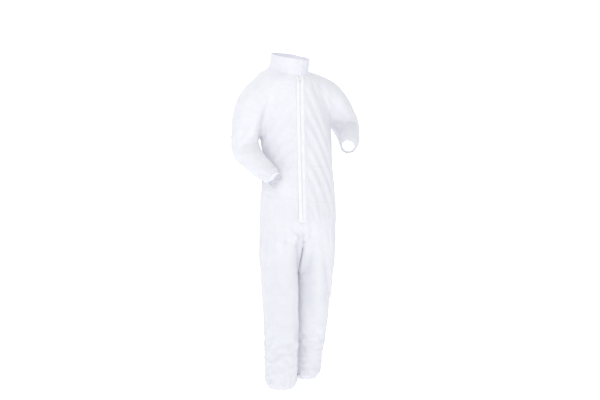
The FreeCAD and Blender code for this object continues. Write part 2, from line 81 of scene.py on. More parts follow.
# height at the front, half widths right and left, half depth, yaw and tilt in degrees
TORSO = [
    (-0.018, 0.086, 0.086, 0.098, 10, 14),
    (-0.033, 0.134, 0.160, 0.104, 9, 12),
    (-0.062, 0.168, 0.190, 0.110, 8, 8),
    (-0.112, 0.166, 0.194, 0.115, 5, 3),
    (-0.200, 0.149, 0.188, 0.118, 0, 0),
    (-0.300, 0.150, 0.179, 0.119, -5, 0),
    (-0.408, 0.150, 0.172, 0.120, -9, 0),
    (-0.500, 0.164, 0.174, 0.126, -11, 0),
    (-0.620, 0.178, 0.178, 0.132, -12, 0),
]
SEAT = [(0.042, -0.026, -0.655, 0.179, 0.130), (0.042, -0.024, -0.692, 0.168, 0.114),
        (0.042, -0.022, SEAT_Z, 0.140, 0.080)]
LEGS = {
    "right": [(-0.046, -0.022, -0.640, 0.086, 0.112), (-0.049, -0.022, -0.720, 0.087, 0.112),
              (-0.051, -0.020, -0.770, 0.089, 0.104), (-0.051, -0.018, HIP_Z, 0.090, 0.098),
              (-0.050, -0.036, -0.930, 0.087, 0.092), (-0.050, -0.043, KNEE_Z, 0.085, 0.088),
              (-0.050, -0.050, -1.180, 0.081, 0.082), (-0.050, -0.052, -1.330, 0.078, 0.078),
              (-0.050, -0.052, -1.395, 0.075, 0.074), (-0.050, -0.052, HEM_Z, 0.066, 0.066)],
    "left": [(0.130, -0.026, -0.640, 0.086, 0.112), (0.132, -0.026, -0.720, 0.087, 0.112),
             (0.133, -0.022, -0.770, 0.089, 0.104), (0.133, -0.020, HIP_Z, 0.090, 0.098),
             (0.131, -0.008, -0.930, 0.087, 0.092), (0.128, 0.001, KNEE_Z, 0.085, 0.088),
             (0.119, 0.015, -1.180, 0.080, 0.082), (0.108, 0.028, -1.330, 0.074, 0.077),
             (0.103, 0.033, -1.395, 0.071, 0.074), (0.101, 0.035, HEM_Z, 0.063, 0.065)],
}
# shoulder to wrist: centre, half width across the arm's plane and within it
SLEEVES = {
    "right": [((-0.118, 0.004, -0.098), 0.086, 0.076), ((-0.166, 0.010, -0.156), 0.080, 0.070),
              ((-0.186, 0.016, -0.245), 0.074, 0.067), ((-0.191, 0.014, -0.328), 0.064, 0.065),
              ((-0.173, -0.040, -0.376), 0.057, 0.052), ((-0.142, -0.094, -0.422), 0.050, 0.047),
              ((-0.114, -0.142, -0.460), 0.037, 0.037)],
    "left": [((0.132, 0.014, -0.088), 0.084, 0.078), ((0.206, 0.028, -0.116), 0.082, 0.078),
             ((0.282, 0.050, -0.184), 0.070, 0.066), ((0.326, 0.072, -0.246), 0.063, 0.060),
             ((0.306, 0.010, -0.276), 0.057, 0.054), ((0.280, -0.052, -0.304), 0.050, 0.047),
             ((0.253, -0.100, -0.330), 0.037, 0.037)],
}


# ---- smooth tubes -------------------------------------------------------------------------------
def spline(values, steps):
    """Points on a Catmull-Rom curve through the values, which are vectors of any size."""
    out = []
    count = len(values)
    for i in range(count - 1):
        p0, p1, p2, p3 = values[max(i - 1, 0)], values[i], values[i + 1], values[min(i + 2, count - 1)]
        for k in range(steps):
            t = k / steps
            out.append([0.5 * (2 * b + (c - a) * t + (2 * a - 5 * b + 4 * c - d) * t * t
                               + (3 * b - a - 3 * c + d) * t ** 3) for a, b, c, d in zip(p0, p1, p2, p3)])
    out.append(list(values[-1]))
    return out


def tube(rows, inset=0.0, sides=48):
    """A capped closed mesh through rows of centre, across, along, half width, half depth, far half width."""
    mesh = bmesh.new()
    rings = []
    for row in rows:
        centre, across, along = Vector(row[0:3]), Vector(row[3:6]), Vector(row[6:9])
        a, b, far = [value - inset for value in row[9:12]]
        ring = []
        for i in range(sides):
            angle = 2 * math.pi * i / sides
            width = a if math.sin(angle) >= 0 else far
            ring.append(mesh.verts.new(centre + across * width * math.sin(angle) - along * b * math.cos(angle)))
        rings.append(ring)
    for lower, upper in zip(rings, rings[1:]):
        for i in range(sides):
            mesh.faces.new((lower[i], lower[(i + 1) % sides], upper[(i + 1) % sides], upper[i]))
    mesh.faces.new(rings[0])
    mesh.faces.new(list(reversed(rings[-1])))
    bmesh.ops.recalc_face_normals(mesh, faces=mesh.faces)
    return mesh


def zip_point(z):
    return ZIP_TOP.lerp(ZIP_BOTTOM, (z - ZIP_TOP.z) / (ZIP_BOTTOM.z - ZIP_TOP.z))


def section_axes(yaw, tilt):
    r, t = math.radians(yaw), math.radians(tilt)
    back = Vector((-math.sin(r), math.cos(r), 0)) * math.cos(t) + Vector((0, 0, math.sin(t)))
    return Vector((math.cos(r), math.sin(r), 0)), back


def torso_rows():
    rows = []
    for z, right, left, depth, yaw, tilt in TORSO:
        across, back = section_axes(yaw, tilt)
        rows.append([*(zip_point(z) + back * depth), *across, *back, left, depth, right])
    up = Vector(neck_plane()[1])
    rows.insert(0, [*(Vector(rows[0][:3]) + up * 0.025), *rows[0][3:]])
    across, back = section_axes(TORSO[-1][4], 0)
    for x, y, z, a, b in SEAT:
        rows.append([x, y, z, *across, *back, a, b, a])
    return spline(rows, 6)


def leg_spread(z):
    """How far each leg is moved out while the surfaces are joined, so that the two don't fuse."""
    t = min(max((SPREAD_TOP - z) / SPREAD_FADE, 0.0), 1.0)
    return LEG_SPREAD * t * t * (3 - 2 * t)


def leg_rows(side):
    sign = -1 if side == "right" else 1
    rows = [[x, y, z, 1, 0, 0, 0, 1, 0, a, b, a] for x, y, z, a, b in LEGS[side]]
    rows = spline(rows, 8)
    for row in rows:
        row[0] += sign * leg_spread(row[2])
    return rows


def arm_rows(side):
    points = [Vector(station[0]) for station in SLEEVES[side]]
    normal = (points[3] - points[0]).cross(points[-1] - points[3]).normalized()
    stations = [[*p, a, b] for p, (_, a, b) in zip(points, SLEEVES[side])]
    inward = (points[0] - points[1]).normalized()
    dome = [[*(points[0] + inward * reach), a * share, b * share]
            for reach, share in ((0.052, 0.35), (0.036, 0.72)) for a, b in [SLEEVES[side][0][1:]]]
    centres = spline(dome + stations, 8)
    rows = []
    for i, (x, y, z, a, b) in enumerate(centres):
        before, after = centres[max(i - 1, 0)], centres[min(i + 1, len(centres) - 1)]
        tangent = (Vector(after[:3]) - Vector(before[:3])).normalized()
        across = (normal - tangent * normal.dot(tangent)).normalized()
        rows.append([x, y, z, *across, *tangent.cross(across), a, b, a])
    return rows


ARM_APART = {"right": Vector((-0.030, -0.012, 0.0)), "left": Vector((0.020, -0.020, 0.0))}


def arm_apart(count):
    """How far each row of an arm is moved off the body while the surfaces are joined, as a share."""
    shares = []
    for i in range(count):
        t = min(max((i / (count - 1) - 0.42) / 0.25, 0.0), 1.0)
        shares.append(t * t * (3 - 2 * t))
    return shares


def link(name, mesh):
    obj = bpy.data.objects.new(name, mesh)
    bpy.context.scene.collection.objects.link(obj)
    return obj


def evaluated_copy(obj, name):
    """A new mesh of the object as its modifiers leave it."""
    graph = bpy.context.evaluated_depsgraph_get()
    graph.update()
    mesh = bpy.data.meshes.new_from_object(obj.evaluated_get(graph))
    mesh.name = name
    return mesh


def joined_surface(inset, voxel):
    """One closed surface of the whole suit, a distance inside its outline."""
    rows = [torso_rows()] + [leg_rows(side) for side in SIDES]
    for side in SIDES:
        arm = arm_rows(side)
        for row, share in zip(arm, arm_apart(len(arm))):
            row[0:3] = Vector(row[0:3]) + ARM_APART[side] * share
        rows.append(arm)
    whole = bmesh.new()
    for part in rows:
        piece = tube(part, inset)
        mesh = bpy.data.meshes.new("part")
        piece.to_mesh(mesh)
        piece.free()
        whole.from_mesh(mesh)
        bpy.data.meshes.remove(mesh)
    mesh = bpy.data.meshes.new("joined")
    whole.to_mesh(mesh)
    whole.free()
    obj = link("joined", mesh)
    remesh = obj.modifiers.new("remesh", "REMESH")
    remesh.mode = "VOXEL"
    remesh.voxel_size = voxel
    smooth = obj.modifiers.new("smooth", "SMOOTH")
    smooth.factor = 0.5
    smooth.iterations = 3
    result = evaluated_copy(obj, "suit")
    bpy.data.objects.remove(obj)
    return result


# ---- planes of the openings and seams -----------------------------------------------------------
def neck_plane():
    across, back = section_axes(TORSO[0][4], TORSO[0][5])
    up = across.cross(back)
    return zip_point(TORSO[0][0]) + up * 0.001, up


def cuff_plane(side):
    end, before = Vector(SLEEVES[side][-1][0]), Vector(SLEEVES[side][-2][0])
    toward = (end - before).normalized()
    return end - toward * 0.020, toward


def spread_from(first, among):
    """The faces joined to the first one, of those given."""
    found, edge = {first}, [first]
    while edge:
        face = edge.pop()
        for line in face.edges:
            for other in line.link_faces:
                if other in among and other not in found:
                    found.add(other)
                    edge.append(other)
    return found


def open_ends(mesh):
    """Cuts the surface open at the neck, the cuffs and the ankles."""
    bm = bmesh.new()
    bm.from_mesh(mesh)
    cuts = [(*neck_plane(), Vector((0.0, 0.0, 0.02)), 0.17)]
    for side in SIDES:
        cuts.append((*cuff_plane(side), Vector(SLEEVES[side][-1][0]), 0.075))
        x, y = LEGS[side][-1][:2]
        cuts.append((Vector((0, 0, HEM_TOP)), Vector((0, 0, -1)), Vector((x, y, HEM_Z)), 0.12))
    for point, normal, end, reach in cuts:
        geom = [f for f in bm.faces if (f.calc_center_median() - end).length < reach]
        geom += list({e for f in geom for e in f.edges}) + list({v for f in geom for v in f.verts})
        bmesh.ops.bisect_plane(bm, geom=geom, dist=0.0005, plane_co=point, plane_no=normal)
        beyond = {f for f in bm.faces if (f.calc_center_median() - end).length < reach
                  and (f.calc_center_median() - point).dot(normal) > 0}
        first = min(beyond, key=lambda f: (f.calc_center_median() - end).length)
        bmesh.ops.delete(bm, geom=list(spread_from(first, beyond)), context="FACES")
    bmesh.ops.delete(bm, geom=[v for v in bm.verts if not v.link_faces], context="VERTS")
    bmesh.ops.dissolve_degenerate(bm, dist=0.0015, edges=bm.edges)
    bmesh.ops.triangulate(bm, faces=[f for f in bm.faces if len(f.verts) > 4])
    bm.to_mesh(mesh)
    bm.free()


# ---- the mannequin and the drape ----------------------------------------------------------------
def vectors_of(items, attribute):
    flat = np.empty(len(items) * 3)
    items.foreach_get(attribute, flat)
    return flat.reshape(-1, 3)


def whole_numbers_of(items, attribute):
    flat = np.empty(len(items), np.int64)
    items.foreach_get(attribute, flat)
    return flat


def array_of(mesh):
    return vectors_of(mesh.vertices, "co")


def set_array(mesh, points):
    mesh.vertices.foreach_set("co", points.astype(np.float32).ravel())
    mesh.update()


def side_of_legs(points):
    """-1 nearer the right leg's middle and 1 nearer the left one's."""
    away = []
    for side in SIDES:
        z = [-station[2] for station in LEGS[side]]
        x = np.interp(-points[:, 2], z, [station[0] for station in LEGS[side]])
        y = np.interp(-points[:, 2], z, [station[1] for station in LEGS[side]])
        away.append(np.hypot(points[:, 0] - x, points[:, 1] - y))
    return np.where(away[0] < away[1], -1.0, 1.0)


def closed_up(points):
    """The worn places of points given with the legs and arms apart."""
    t = np.clip((SPREAD_TOP - points[:, 2]) / SPREAD_FADE, 0.0, 1.0)
    near = np.clip(np.abs(points[:, 0] - CROTCH_X) / LEG_SPREAD, 0.0, 1.0)
    worn = points.copy()
    worn[:, 0] -= side_of_legs(points) * near * LEG_SPREAD * t * t * (3 - 2 * t)
    for side in SIDES:
        arm = arm_rows(side)
        shares = np.array(arm_apart(len(arm)))
        radii = np.array([max(row[9], row[10]) for row in arm])
        shift = np.array(ARM_APART[side])
        centres = np.array([row[0:3] for row in arm]) + shares[:, None] * shift
        away = np.linalg.norm(points[:, None, :] - centres[None, :, :], axis=2) / radii[None, :]
        nearest = np.argmin(away, axis=1)
        on = away[np.arange(len(points)), nearest] < 1.28
        worn -= np.where(on, shares[nearest], 0.0)[:, None] * shift
    return worn


def pin_weights(points):
    """1 where the wearer or a stiff edge holds the fabric, falling to 0 within a few centimetres."""
    point, normal = neck_plane()
    pins = np.clip(1.0 - ((np.array(point) - points) @ np.array(normal) - 0.004) / 0.030, 0.0, 1.0)
    pins *= np.abs(points[:, 0]) < 0.13
    s = (points - np.array(ZIP_TOP)) @ np.array(SIDE)
    front = (points[:, 1] < -0.06) & (points[:, 2] > ZIP_BOTTOM.z - 0.02)
    pins = np.maximum(pins, np.where(front, np.clip((0.026 - np.abs(s)) / 0.010, 0.0, 1.0), 0.0))
    for side in SIDES:
        centre, toward = cuff_plane(side)
        away = (np.array(centre) - points) @ np.array(toward)
        near = np.linalg.norm(points - np.array(centre), axis=1) < 0.07
        pins = np.maximum(pins, np.where(near, np.clip((0.026 - away) / 0.014, 0.0, 1.0), 0.0))
    pins = np.maximum(pins, np.clip((HEM_TOP + 0.026 - points[:, 2]) / 0.016, 0.0, 1.0))
    return pins


def drape(suit, form):
    """Lets the fabric, cut a little large, settle on the form under its own weight."""
    obj = link("fabric_sim", suit.copy())
    points = array_of(obj.data)
    group = obj.vertex_groups.new(name="pins")
    for index, weight in enumerate(pin_weights(points)):
        if weight > 0:
            group.add([index], float(weight), "REPLACE")
    body = link("form", form)
    body.modifiers.new("collision", "COLLISION")
    body.collision.thickness_outer = 0.003
    body.collision.cloth_friction = 12.0
    cloth = obj.modifiers.new("cloth", "CLOTH")
    settings = cloth.settings
    settings.quality = 5
    settings.mass = 0.15
    settings.air_damping = 2.0
    settings.tension_stiffness = 25.0
    settings.compression_stiffness = 25.0
    settings.shear_stiffness = 12.0
    settings.bending_stiffness = 5.0
    settings.vertex_group_mass = "pins"
    settings.pin_stiffness = 4.0
    settings.shrink_min = -0.016
    cloth.collision_settings.distance_min = 0.003
    cloth.collision_settings.collision_quality = 2
    cloth.point_cache.frame_start = 1
    cloth.point_cache.frame_end = SIM_FRAMES
    scene = bpy.context.scene
    scene.frame_start = 1
    scene.frame_end = SIM_FRAMES
    for number in range(1, SIM_FRAMES + 1):
        scene.frame_set(number)
    settled = evaluated_copy(obj, "draped")
    bpy.data.objects.remove(obj)
    bpy.data.objects.remove(body)
    scene.frame_set(1)
    return settled


def form_surface():
    """The wearer's shape inside the suit."""
    form = joined_surface(FORM_INSET, VOXEL)
    set_array(form, closed_up(array_of(form)))
    return form


# ---- the cut panels -----------------------------------------------------------------------------
def leg_side(p):
    return "right" if side_of_legs(np.array([tuple(p)]))[0] < 0 else "left"


def leg_centre_y(side, z):
    stations = LEGS[side]
    return float(np.interp(-z, [-station[2] for station in stations], [station[1] for station in stations]))


def facing_back(p, side):
    """Positive behind the side seam, which follows the middle of each leg below the hip."""
    low = min(max((-0.60 - p.z) / 0.20, 0.0), 1.0)
    return p.y - (SIDE_SEAM_Y * (1 - low) + leg_centre_y(side, p.z) * low)


def along_arm(p, side):
    hinge, toward = SHOULDER[side]
    return (p - hinge).dot(toward)


def off_torso(p, side):
    """Distance out from the vertical plane between the sleeve and the torso."""
    return -0.128 - p.x if side == "right" else p.x - 0.200


def on_arm(p, side):
    """Positive beyond the armhole seam."""
    a, b = along_arm(p, side), off_torso(p, side) + 0.012
    return (a + b - math.sqrt((a - b) ** 2 + 0.03 ** 2)) / 2


def before_elbow(p, side):
    """Positive beyond the seam above the elbow."""
    elbow, toward = ELBOW[side]
    return (p - elbow).dot(toward) + ELBOW_REACH


def zip_side(p):
    return (p - ZIP_TOP).dot(SIDE)


def zip_down(p):
    return (p - ZIP_TOP).dot(DOWN)


def above_crotch(p):
    """How far up the front seam from the crotch a point lies, from 0 to 1."""
    return min(max((p.z - FRONT_SEAM_FOOT) / FRONT_SEAM_HEIGHT, 0.0), 1.0)


SHOULDER = {"right": (Vector((-0.166, 0.010, -0.156)), Vector((-0.448, 0.085, -0.890)).normalized()),
            "left": (Vector((0.206, 0.028, -0.116)), Vector((0.826, 0.198, -0.528)).normalized())}
ELBOW = {"right": (Vector((-0.200, 0.018, -0.328)), Vector((0.137, -0.410, -0.902)).normalized()),
         "left": (Vector((0.326, 0.072, -0.246)), Vector((0.203, -0.430, -0.880)).normalized())}
ARM_BLEND = {"right": (0.040, 0.124), "left": (0.050, 0.132)}
ARMPIT_Z = {"right": -0.215, "left": -0.205}
ELBOW_REACH = 0.042           # the cloth bends this far before and beyond the elbow
THIGH_TOP = -0.790
KNEE_SEAM = -0.950


def near_sleeve(p, side):
    """Below the armpit, whether a point is no farther from the sleeve's middle line than its fabric."""
    stations = SLEEVES[side]
    if p.z > ARMPIT_Z[side]:
        return True
    for (start, r0, _), (end, r1, _) in zip(stations[1:], stations[2:]):
        start, end = Vector(start), Vector(end)
        t = min(max((p - start).dot(end - start) / (end - start).length_squared, 0.0), 1.0)
        if (p - start.lerp(end, t)).length < (r0 + (r1 - r0) * t) * 1.22:
            return True
    return False


def arm_of(p):
    """The side whose sleeve a point lies on, or None."""
    for side in SIDES:
        far = p.x < -0.09 if side == "right" else p.x > 0.16
        if far and p.z > -0.50 and on_arm(p, side) > 0 and near_sleeve(p, side):
            return side
    return None


def seam_fields():
    """Each seam: the faces it may cross, and the field whose zero it follows."""
    fields = []
    for side in SIDES:
        far = (lambda p: p.x < -0.085) if side == "right" else (lambda p: p.x > 0.150)
        fields.append((lambda p, far=far: far(p) and p.z > -0.36, lambda p, side=side: on_arm(p, side)))
        fields.append((lambda p, side=side: arm_of(p) == side, lambda p, side=side: before_elbow(p, side)))
    fields.append((lambda p: p.z > -0.76 and arm_of(p) is None, lambda p: facing_back(p, "right")))
    for side in SIDES:
        fields.append((lambda p, side=side: p.z < -0.76 and leg_side(p) == side,
                       lambda p, side=side: facing_back(p, side)))
    for height in (WAIST_Z, THIGH_TOP, KNEE_SEAM):
        fields.append((lambda p, height=height: arm_of(p) is None and abs(p.z - height) < 0.1,
                       lambda p, height=height: p.z - height))
    fields.append((lambda p: p.z > THIGH_TOP - 0.02 and arm_of(p) is None and p.z < ZIP_BOTTOM.z + 0.03,
                   lambda p: p.x - CROTCH_X + (CROTCH_X - ZIP_BOTTOM.x) * above_crotch(p)))
    for offset in (-TAPE_HALF, TAPE_HALF):
        fields.append((lambda p: p.y < -0.05 and p.z > ZIP_BOTTOM.z - 0.03 and arm_of(p) is None,
                       lambda p, offset=offset: zip_side(p) - offset))
    fields.append((lambda p: p.y < -0.05 and abs(zip_side(p)) < 0.03 and p.z < -0.55,
                   lambda p: zip_down(p) - ZIP_LENGTH))
    return fields


def panel_of(p):
    """The panel that a point of the unsimulated surface belongs to."""
    arm = arm_of(p)
    if arm:
        return ("lower_sleeve_" if before_elbow(p, arm) > 0 else "upper_sleeve_") + arm
    centre = CROTCH_X - (CROTCH_X - ZIP_BOTTOM.x) * above_crotch(p)
    if p.z < THIGH_TOP:
        side = leg_side(p)
        where = "back_" if facing_back(p, side) > 0 else "front_"
        return ("thigh_" if p.z > KNEE_SEAM else "shin_") + where + side
    if facing_back(p, "right") > 0:
        return "back_upper" if p.z > WAIST_Z else "seat"
    if abs(zip_side(p)) < TAPE_HALF and zip_down(p) < ZIP_LENGTH and p.y < -0.05:
        return None
    side = "right" if p.x < (zip_point(p.z).x if p.z > ZIP_BOTTOM.z else centre) else "left"
    return ("front_" if p.z > WAIST_Z else "hip_front_") + side


def cut_field(bm, rest, near, field):
    """Splits the faces along the line where the field is zero, in the unsimulated shape."""
    faces = [f for f in bm.faces if near(sum((v[rest] for v in f.verts), Vector()) / len(f.verts))]
    verts = list({v for f in faces for v in f.verts})
    for v in verts:
        v.co = (field(v[rest]), 0.0, 0.0)
    edges = list({e for f in faces for e in f.edges})
    bmesh.ops.bisect_plane(bm, geom=faces + edges + verts, dist=0.0008, plane_co=(0, 0, 0), plane_no=(1, 0, 0))


def seam_depth(names):
    """How far the stitching draws in the fabric where these panels meet."""
    if len(names) < 2:
        return 0.0
    if None in names:
        return 0.0002
    parts = {name.rsplit("_", 1)[0] if name.endswith(SIDES) else name for name in names}
    if parts in ({"upper_sleeve", "lower_sleeve"}, {"thigh_front", "shin_front"}, {"thigh_back", "shin_back"},
                 {"hip_front", "thigh_front"}, {"seat", "thigh_back"}, {"thigh_front"}, {"shin_front"}):
        return 0.0 if len(parts) > 1 else 0.0012
    if "upper_sleeve" in parts:
        return 0.0006
    return 0.0013


def finer(mesh, name):
    obj = link(name, mesh)
    subdivide = obj.modifiers.new("finer", "SUBSURF")
    subdivide.levels = 1
    subdivide.boundary_smooth = "PRESERVE_CORNERS"
    result = evaluated_copy(obj, name)
    bpy.data.objects.remove(obj)
    return result


def cut_panels(rest_mesh, draped):
    """A mesh for each panel, in its draped shape, with its flat-out place kept on every vertex."""
    bm = bmesh.new()
    bm.from_mesh(rest_mesh)
    rest = bm.verts.layers.float_vector.new("rest")
    hung = bm.verts.layers.float_vector.new("hung")
    bm.verts.ensure_lookup_table()
    for v, place in zip(bm.verts, draped):
        v[rest] = v.co
        v[hung] = Vector(place)
    for near, field in seam_fields():
        cut_field(bm, rest, near, field)
    for v in bm.verts:
        v.co = v[hung]
    order = []
    for face in bm.faces:
        name = panel_of(sum((v[rest] for v in face.verts), Vector()) / len(face.verts))
        if name not in order:
            order.append(name)
        face.material_index = order.index(name)
    bm.normal_update()
    for v in bm.verts:
        v.co -= v.normal * seam_depth({order[face.material_index] for face in v.link_faces})
    bm.normal_update()
    normal = bm.verts.layers.float_vector.new("normal_of_whole")
    for v in bm.verts:
        v[normal] = v.normal
    whole = bpy.data.meshes.new("cut")
    bm.to_mesh(whole)
    bm.free()
    panels = {}
    for index, name in enumerate(order):
        if name is None:
            continue
        piece = bmesh.new()
        piece.from_mesh(whole)
        other = [f for f in piece.faces if f.material_index != index]
        bmesh.ops.delete(piece, geom=other, context="FACES")
        for face in piece.faces:
            face.material_index = 0
            face.smooth = True
        mesh = bpy.data.meshes.new(name)
        piece.to_mesh(mesh)
        piece.free()
        panels[name] = mesh
    bpy.data.meshes.remove(whole)
    return panels


# ---- folds worked into the settled fabric -------------------------------------------------------
def wave(points, scale, seed):
    """Smooth noise from -1 to 1 at each point."""
    shift = Vector((seed * 7.3, seed * 3.1, seed * 5.7))
    return np.array([noise.noise(Vector(p) * scale + shift) for p in points])


def bump(values, width):
    return np.exp(-(values / width) ** 2)


def near_line(points, start, end):
    """Distance of each point from a line, and how far along it lies, from 0 to 1."""
    a, b = np.array(start), np.array(end)
    t = np.clip(((points - a) @ (b - a)) / ((b - a) @ (b - a)), 0, 1)
    return np.linalg.norm(points - (a + t[:, None] * (b - a)), axis=1), t


# folds that stand out or lie in: start, end, width and height
FOLDS = [
    ((-0.075, -0.128, -0.520), (-0.128, -0.085, -0.585), 0.007, 0.0045),
    ((-0.062, -0.138, -0.528), (-0.118, -0.100, -0.600), 0.007, -0.0040),
    ((0.120, -0.125, -0.640), (0.030, -0.150, -0.715), 0.009, 0.0050),
    ((0.150, -0.110, -0.665), (0.050, -0.140, -0.735), 0.008, -0.0045),
    ((0.020, -0.150, -0.655), (0.040, -0.115, -0.760), 0.008, 0.0050),
    ((-0.040, -0.145, -0.690), (0.030, -0.110, -0.765), 0.008, 0.0045),
    ((-0.070, -0.140, -0.730), (0.025, -0.100, -0.775), 0.007, -0.0040),
    ((0.110, -0.125, -0.725), (0.055, -0.100, -0.775), 0.008, 0.0045),
    ((0.165, -0.060, -0.100), (0.232, -0.030, -0.260), 0.009, 0.0050),
    ((0.190, -0.045, -0.080), (0.262, -0.020, -0.240), 0.010, -0.0050),
    ((0.150, -0.075, -0.090), (0.185, -0.070, -0.230), 0.009, -0.0045),
    ((0.240, -0.030, -0.110), (0.300, 0.000, -0.210), 0.009, 0.0040),
    ((0.330, 0.010, -0.220), (0.290, 0.000, -0.262), 0.007, -0.0045),
    ((0.350, 0.030, -0.240), (0.300, 0.000, -0.285), 0.007, 0.0045),
    ((-0.150, -0.060, -0.130), (-0.185, -0.045, -0.300), 0.009, 0.0040),
    ((-0.190, -0.040, -0.170), (-0.215, -0.035, -0.320), 0.009, -0.0040),
    ((-0.215, -0.020, -0.330), (-0.165, -0.060, -0.350), 0.008, -0.0050),
    ((-0.230, 0.000, -0.350), (-0.170, -0.070, -0.380), 0.008, 0.0045),
    ((-0.090, -0.110, -0.110), (-0.075, -0.130, -0.300), 0.011, 0.0035),
    ((0.085, -0.115, -0.110), (0.095, -0.140, -0.330), 0.011, 0.0035),
]


def gathers(points, centre, around, count):
    """Ripples round a tube's axis, as unevenly spaced as elastic draws them."""
    across, along = around
    rel = points - np.array(centre)
    angle = np.arctan2(rel @ np.array(along), rel @ np.array(across))
    return np.sin(count * angle + 1.6 * np.sin(3 * angle + 0.7) + 1.1 * np.sin(7 * angle))


def worked(points, rest, normals):
    """The settled fabric with its sewn gathers, placket folds and chief creases."""
    push = np.zeros(len(points))
    s = (rest - np.array(ZIP_TOP)) @ np.array(SIDE)
    d = (rest - np.array(ZIP_TOP)) @ np.array(DOWN)
    front = (rest[:, 1] < -0.06) & (d < ZIP_LENGTH + 0.03) & (rest[:, 2] > ZIP_BOTTOM.z - 0.03)
    push += np.where(front, 0.0032 * bump(np.abs(s) - 0.0190, 0.0055), 0.0)
    behind = np.clip((rest[:, 1] + 0.085) / 0.05, 0, 1)
    torso = (rest[:, 0] > -0.19) & (rest[:, 0] < 0.235) & (rest[:, 2] < -0.33) & (rest[:, 2] > -0.50)
    waist = np.where(torso, behind, 0.0)
    lift = rest[:, 2] - WAIST_Z
    ripple = gathers(rest, (0.02, -0.02, WAIST_Z), ((1, 0, 0), (0, 1, 0)), 34)
    push += waist * (-0.0075 * bump(lift, 0.014) + 0.0030 * ripple * np.exp(-np.abs(lift) / 0.030))
    for side in SIDES:
        sign = -1 if side == "right" else 1
        x, y = LEGS[side][-1][:2]
        leg = (rest[:, 2] < -1.25) & (side_of_legs(rest) == sign)
        ripple = gathers(rest, (x, y, HEM_Z), ((1, 0, 0), (0, 1, 0)), 22)
        fade = np.exp(-np.clip(rest[:, 2] - HEM_TOP, 0, 1) / 0.030) * np.clip((rest[:, 2] - HEM_TOP) / 0.006, 0, 1)
        push += np.where(leg, 0.0034 * ripple * fade, 0.0)
        point, toward = cuff_plane(side)
        across = toward.orthogonal().normalized()
        away = (np.array(point) - rest) @ np.array(toward)
        near = (np.linalg.norm(rest - np.array(point), axis=1) < 0.12) & (away > -0.001) & (rest[:, 1] < -0.02)
        near &= np.linalg.norm((rest - np.array(point)) + away[:, None] * np.array(toward), axis=1) < 0.062
        ripple = gathers(rest, point, (across, toward.cross(across)), 17)
        fade = np.exp(-np.clip(away, 0, 1) / 0.022) * np.clip(away / 0.006, 0, 1)
        push += np.where(near, 0.0026 * ripple * fade, 0.0)
    for start, end, width, height in FOLDS:
        distance, t = near_line(points, start, end)
        push += 1.5 * height * bump(distance, width * 1.4) * np.sin(math.pi * np.clip(t * 0.9 + 0.05, 0, 1)) ** 0.7
    push += 0.0010 * wave(points, 26.0, 1) + 0.0006 * wave(points, 62.0, 2)
    held = np.clip((ZIP_LENGTH + 0.02 - d) / 0.02, 0, 1) * np.clip((0.0175 - np.abs(s)) / 0.004, 0, 1)
    push *= 1 - np.where(front, held, 0.0)
    point, normal = neck_plane()
    push *= np.clip(((np.array(point) - rest) @ np.array(normal) - 0.002) / 0.015, 0, 1)
    moved = points + normals * push[:, None]
    low = (rest[:, 2] < -0.76) & (rest[:, 2] > -1.03)
    sign = side_of_legs(rest)
    inner = (moved[:, 0] - CROTCH_X) * sign
    moved[:, 0] = np.where(low & (inner < 0.002), CROTCH_X + sign * 0.002, moved[:, 0])
    return moved


# ---- materials ----------------------------------------------------------------------------------
def node(tree, kind, **settings):
    made = tree.nodes.new(kind)
    for key, value in settings.items():
        if key.startswith("_"):
            setattr(made, key[1:], value)
        else:
            made.inputs[key.replace("_", " ")].default_value = value
    return made


def new_material(name):
    material = bpy.data.materials.new(name)
    material.use_nodes = True
    tree = material.node_tree
    tree.nodes.clear()
    out = tree.nodes.new("ShaderNodeOutputMaterial")
    shader = tree.nodes.new("ShaderNodeBsdfPrincipled")
    tree.links.new(shader.outputs[0], out.inputs[0])
    where = tree.nodes.new("ShaderNodeTexCoord").outputs["Object"]
    return material, tree, shader, where


def math_node(tree, operation, a, b=0.0, clamp=False):
    made = tree.nodes.new("ShaderNodeMath")
    made.operation = operation
    made.use_clamp = clamp
    for socket, value in zip(made.inputs, (a, b)):
        if isinstance(value, (int, float)):
            socket.default_value = value
        else:
            tree.links.new(value, socket)
    return made.outputs[0]


def noise_node(tree, where, scale, detail=2.0, rough=0.5, distortion=0.0):
    made = node(tree, "ShaderNodeTexNoise", Scale=scale, Detail=detail, Roughness=rough, Distortion=distortion)
    tree.links.new(where, made.inputs["Vector"])
    return made.outputs["Fac"]


def ranged(tree, value, low, high, to_low, to_high):
    made = node(tree, "ShaderNodeMapRange", From_Min=low, From_Max=high, To_Min=to_low, To_Max=to_high)
    tree.links.new(value, made.inputs["Value"])
    return made.outputs["Result"]


def mixed(tree, factor, first, second):
    made = tree.nodes.new("ShaderNodeMix")
    made.data_type = "RGBA"
    tree.links.new(factor, made.inputs[0])
    made.inputs[6].default_value = (*first, 1)
    made.inputs[7].default_value = (*second, 1)
    return made.outputs[2]


def bumped(tree, shader, layers):
    """Adds each height, with its distance in metres, to the shader's normal."""
    last = None
    for height, distance, strength in layers:
        made = node(tree, "ShaderNodeBump", Strength=strength, Distance=distance)
        tree.links.new(height, made.inputs["Height"])
        if last:
            tree.links.new(last, made.inputs["Normal"])
        last = made.outputs[0]
    tree.links.new(last, shader.inputs["Normal"])


